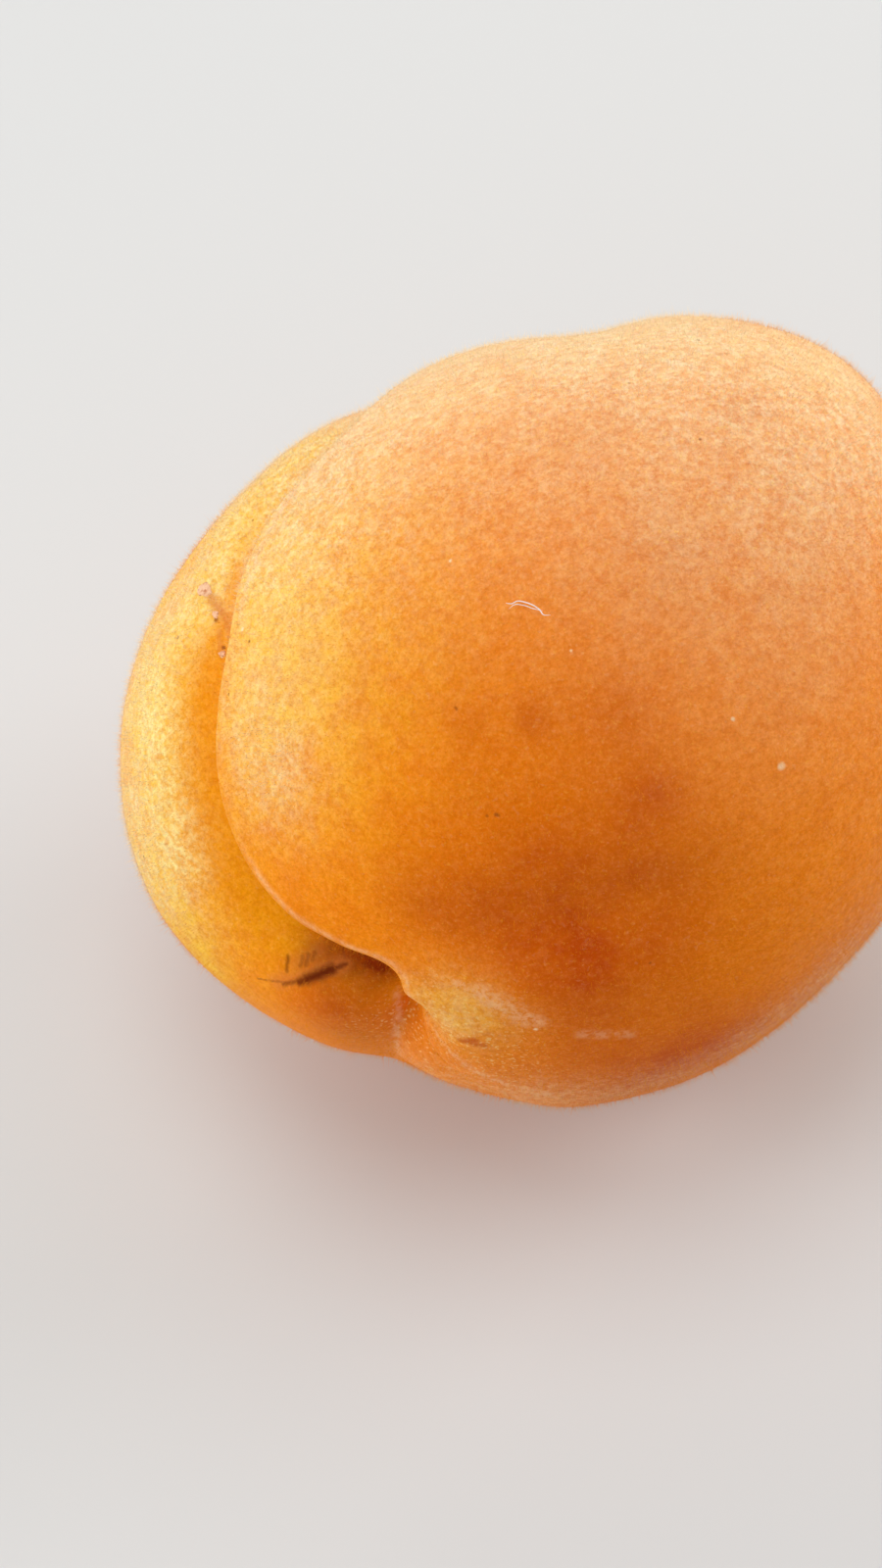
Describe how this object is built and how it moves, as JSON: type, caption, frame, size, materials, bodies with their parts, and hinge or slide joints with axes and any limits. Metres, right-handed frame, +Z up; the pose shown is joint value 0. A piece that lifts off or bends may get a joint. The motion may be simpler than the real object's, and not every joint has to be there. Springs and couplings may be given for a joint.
{
  "type": "apricot",
  "caption": "Whole ripe apricot with two unequal rounded cheeks, a deep seam and a stem pit, lying on its side as a piece of fruit.",
  "frame": {"origin": "middle of the bottom of the fruit's bounding box, in the plane of the flat spot that it rests on", "axes": "+Z up as the fruit lies; the stem end points to -X -Y and the large cheek up and to +X; seen from -Y the small cheek is on the left"},
  "size_m": [0.0554, 0.0478, 0.0529],
  "materials": {
    "skin": "soft downy fruit skin, orange with yellow in the seam"
  },
  "bodies": {
    "root": {"apricot": "skin"}
  },
  "joints": []
}
